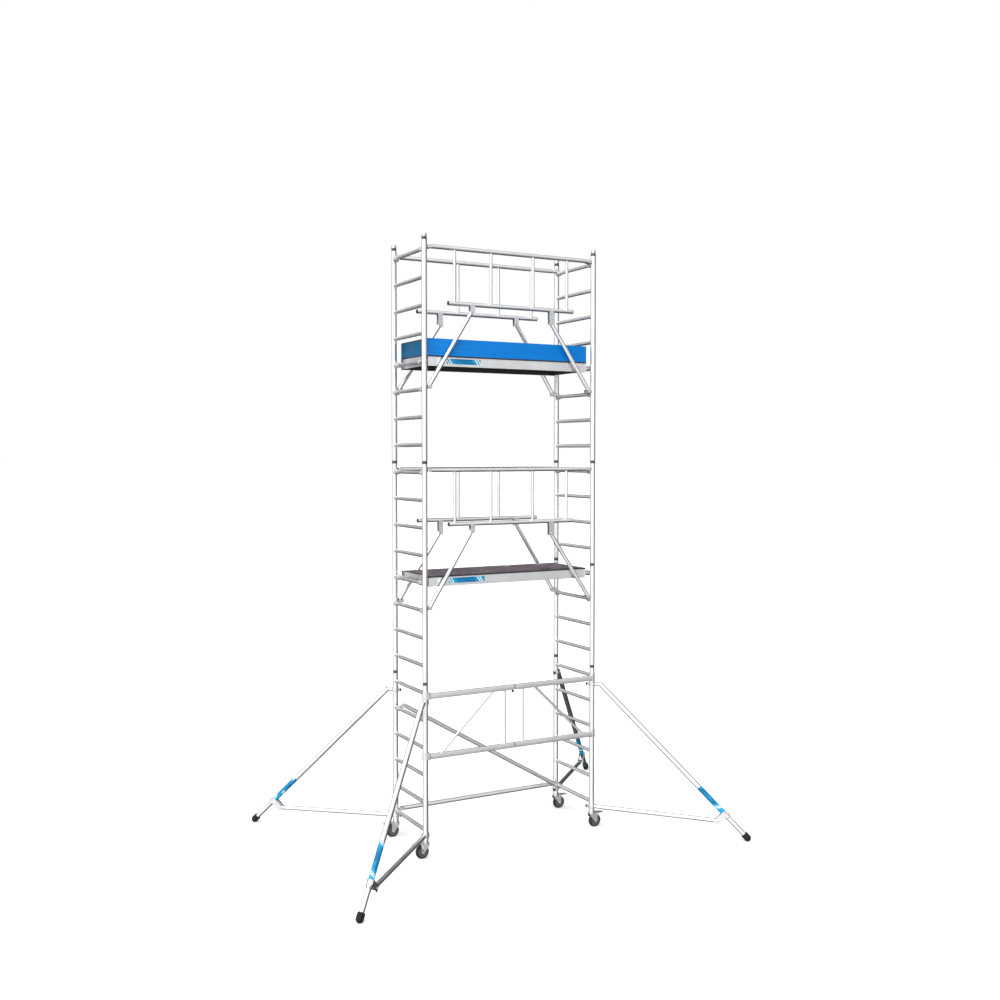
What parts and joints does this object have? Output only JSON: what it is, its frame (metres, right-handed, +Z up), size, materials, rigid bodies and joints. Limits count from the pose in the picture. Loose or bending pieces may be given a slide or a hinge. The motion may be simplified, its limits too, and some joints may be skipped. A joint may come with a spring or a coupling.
{
  "type": "mobile scaffold tower",
  "caption": "Mobile aluminium scaffold tower with two trapdoor platforms, guardrails, toe boards, braked castors and telescopic stabilisers.",
  "frame": {"origin": "middle of the tower's footprint, on the floor that the castors and stabiliser feet stand on", "axes": "+Z up, X along the platforms from the left to the right ladder end, Y from the front to the back"},
  "size_m": [3.9972, 2.8722, 5.637],
  "materials": {
    "tube": "satin, extruded",
    "spigot": "dull",
    "cast": "cast, matt",
    "zinc_steel": "zinc plated",
    "black_plastic": "black",
    "black_knob": "black ball",
    "pedal_steel": "zinc plated",
    "deck": "phenolic faced birch plywood",
    "toe_board": "blue coated plywood",
    "end_board": "blue coated plywood",
    "tyre": "black rubber on a grey hub",
    "foot_rubber": "black"
  },
  "bodies": {
    "tower": {"base_frame_left": "tube", "base_frame_right": "tube", "frame_left_middle": "tube", "frame_left_top": "tube", "frame_right_lower": "tube", "frame_right_middle": "tube", "frame_right_top": "tube", "spigots": "spigot", "spigot_collars": "black_plastic", "spigot_rivets": "zinc_steel", "fold_panel_left": "tube", "fold_panel_right": "tube", "fold_hinges": "cast", "horizontal_brace": "tube", "diagonal_brace": "tube", "brace_claws": "cast", "guard_front_lower": "tube", "guard_back_lower": "tube", "guard_front_upper": "tube", "guard_back_upper": "tube", "guard_claws": "cast", "guard_end_plugs": "black_plastic", "platform_frame_lower": "tube", "platform_frame_upper": "tube", "deck_lower": "deck", "deck_upper": "deck", "hatch_hinges": "zinc_steel", "platform_claws": "cast", "wind_locks": "zinc_steel", "toe_boards_long": "toe_board", "toe_boards_end": "end_board", "toe_board_corners": "black_plastic", "castor_stems": "zinc_steel"},
    "fold_lock": {"fold_lock_knob": "black_knob"},
    "hatch_lower": {"hatch_lower": "deck"},
    "hatch_upper": {"hatch_upper": "deck"},
    "castor_fork_front_left": {"castor_fork_front_left": "zinc_steel"},
    "castor_wheel_front_left": {"castor_wheel_front_left": "tyre"},
    "castor_brake_front_left": {"castor_brake_front_left": "pedal_steel"},
    "stabiliser_front_left": {"stabiliser_front_left": "tube"},
    "stabiliser_foot_front_left": {"stabiliser_foot_front_left": "tube", "foot_pad_front_left": "foot_rubber"},
    "castor_fork_front_right": {"castor_fork_front_right": "zinc_steel"},
    "castor_wheel_front_right": {"castor_wheel_front_right": "tyre"},
    "castor_brake_front_right": {"castor_brake_front_right": "pedal_steel"},
    "stabiliser_front_right": {"stabiliser_front_right": "tube"},
    "stabiliser_foot_front_right": {"stabiliser_foot_front_right": "tube", "foot_pad_front_right": "foot_rubber"},
    "castor_fork_back_left": {"castor_fork_back_left": "zinc_steel"},
    "castor_wheel_back_left": {"castor_wheel_back_left": "tyre"},
    "castor_brake_back_left": {"castor_brake_back_left": "pedal_steel"},
    "stabiliser_back_left": {"stabiliser_back_left": "tube"},
    "stabiliser_foot_back_left": {"stabiliser_foot_back_left": "tube", "foot_pad_back_left": "foot_rubber"},
    "castor_fork_back_right": {"castor_fork_back_right": "zinc_steel"},
    "castor_wheel_back_right": {"castor_wheel_back_right": "tyre"},
    "castor_brake_back_right": {"castor_brake_back_right": "pedal_steel"},
    "stabiliser_back_right": {"stabiliser_back_right": "tube"},
    "stabiliser_foot_back_right": {"stabiliser_foot_back_right": "tube", "foot_pad_back_right": "foot_rubber"}
  },
  "joints": [
    {"name": "hatch_lower_hinge", "type": "hinge", "parent": "tower", "child": "hatch_lower", "pos_m": [0.4425, 0.2292, 2.5663], "axis": [-1, 0, 0], "range_deg": [0, 95]},
    {"name": "hatch_upper_hinge", "type": "hinge", "parent": "tower", "child": "hatch_upper", "pos_m": [0.4425, 0.2292, 4.5663], "axis": [-1, 0, 0], "range_deg": [0, 95]},
    {"name": "fold_lock_pull", "type": "slide", "parent": "tower", "child": "fold_lock", "axis": [0, 0, -1], "range_m": [0, 0.008], "stiffness_N_per_m": 800, "springref_m": -0.004},
    {"name": "swivel_front_left", "type": "hinge", "parent": "tower", "child": "castor_fork_front_left", "pos_m": [-0.9, -0.3375, 0.14], "axis": [0, 0, 1], "continuous": true},
    {"name": "wheel_front_left", "type": "hinge", "parent": "castor_fork_front_left", "child": "castor_wheel_front_left", "pos_m": [-0.935, -0.3375, 0.0625], "axis": [0, 1, 0], "continuous": true},
    {"name": "brake_front_left", "type": "hinge", "parent": "castor_fork_front_left", "child": "castor_brake_front_left", "pos_m": [-0.947, -0.3375, 0.14], "axis": [0, -1, 0], "range_deg": [0, 25]},
    {"name": "stabiliser_swing_front_left", "type": "hinge", "parent": "tower", "child": "stabiliser_front_left", "pos_m": [-0.9, -0.3375, 1.42], "axis": [0, 0, 1], "range_deg": [-45, 45]},
    {"name": "foot_slide_front_left", "type": "slide", "parent": "stabiliser_front_left", "child": "stabiliser_foot_front_left", "axis": [-0.5061, -0.5061, -0.6984], "range_m": [-0.2, 0.1]},
    {"name": "swivel_front_right", "type": "hinge", "parent": "tower", "child": "castor_fork_front_right", "pos_m": [0.9, -0.3375, 0.14], "axis": [0, 0, 1], "continuous": true},
    {"name": "wheel_front_right", "type": "hinge", "parent": "castor_fork_front_right", "child": "castor_wheel_front_right", "pos_m": [0.935, -0.3375, 0.0625], "axis": [0, 1, 0], "continuous": true},
    {"name": "brake_front_right", "type": "hinge", "parent": "castor_fork_front_right", "child": "castor_brake_front_right", "pos_m": [0.947, -0.3375, 0.14], "axis": [0, 1, 0], "range_deg": [0, 25]},
    {"name": "stabiliser_swing_front_right", "type": "hinge", "parent": "tower", "child": "stabiliser_front_right", "pos_m": [0.9, -0.3375, 1.42], "axis": [0, 0, 1], "range_deg": [-45, 45]},
    {"name": "foot_slide_front_right", "type": "slide", "parent": "stabiliser_front_right", "child": "stabiliser_foot_front_right", "axis": [0.5061, -0.5061, -0.6984], "range_m": [-0.2, 0.1]},
    {"name": "swivel_back_left", "type": "hinge", "parent": "tower", "child": "castor_fork_back_left", "pos_m": [-0.9, 0.3375, 0.14], "axis": [0, 0, 1], "continuous": true},
    {"name": "wheel_back_left", "type": "hinge", "parent": "castor_fork_back_left", "child": "castor_wheel_back_left", "pos_m": [-0.935, 0.3375, 0.0625], "axis": [0, 1, 0], "continuous": true},
    {"name": "brake_back_left", "type": "hinge", "parent": "castor_fork_back_left", "child": "castor_brake_back_left", "pos_m": [-0.947, 0.3375, 0.14], "axis": [0, -1, 0], "range_deg": [0, 25]},
    {"name": "stabiliser_swing_back_left", "type": "hinge", "parent": "tower", "child": "stabiliser_back_left", "pos_m": [-0.9, 0.3375, 1.42], "axis": [0, 0, 1], "range_deg": [-45, 45]},
    {"name": "foot_slide_back_left", "type": "slide", "parent": "stabiliser_back_left", "child": "stabiliser_foot_back_left", "axis": [-0.5061, 0.5061, -0.6984], "range_m": [-0.2, 0.1]},
    {"name": "swivel_back_right", "type": "hinge", "parent": "tower", "child": "castor_fork_back_right", "pos_m": [0.9, 0.3375, 0.14], "axis": [0, 0, 1], "continuous": true},
    {"name": "wheel_back_right", "type": "hinge", "parent": "castor_fork_back_right", "child": "castor_wheel_back_right", "pos_m": [0.935, 0.3375, 0.0625], "axis": [0, 1, 0], "continuous": true},
    {"name": "brake_back_right", "type": "hinge", "parent": "castor_fork_back_right", "child": "castor_brake_back_right", "pos_m": [0.947, 0.3375, 0.14], "axis": [0, 1, 0], "range_deg": [0, 25]},
    {"name": "stabiliser_swing_back_right", "type": "hinge", "parent": "tower", "child": "stabiliser_back_right", "pos_m": [0.9, 0.3375, 1.42], "axis": [0, 0, 1], "range_deg": [-45, 45]},
    {"name": "foot_slide_back_right", "type": "slide", "parent": "stabiliser_back_right", "child": "stabiliser_foot_back_right", "axis": [0.5061, 0.5061, -0.6984], "range_m": [-0.2, 0.1]}
  ]
}
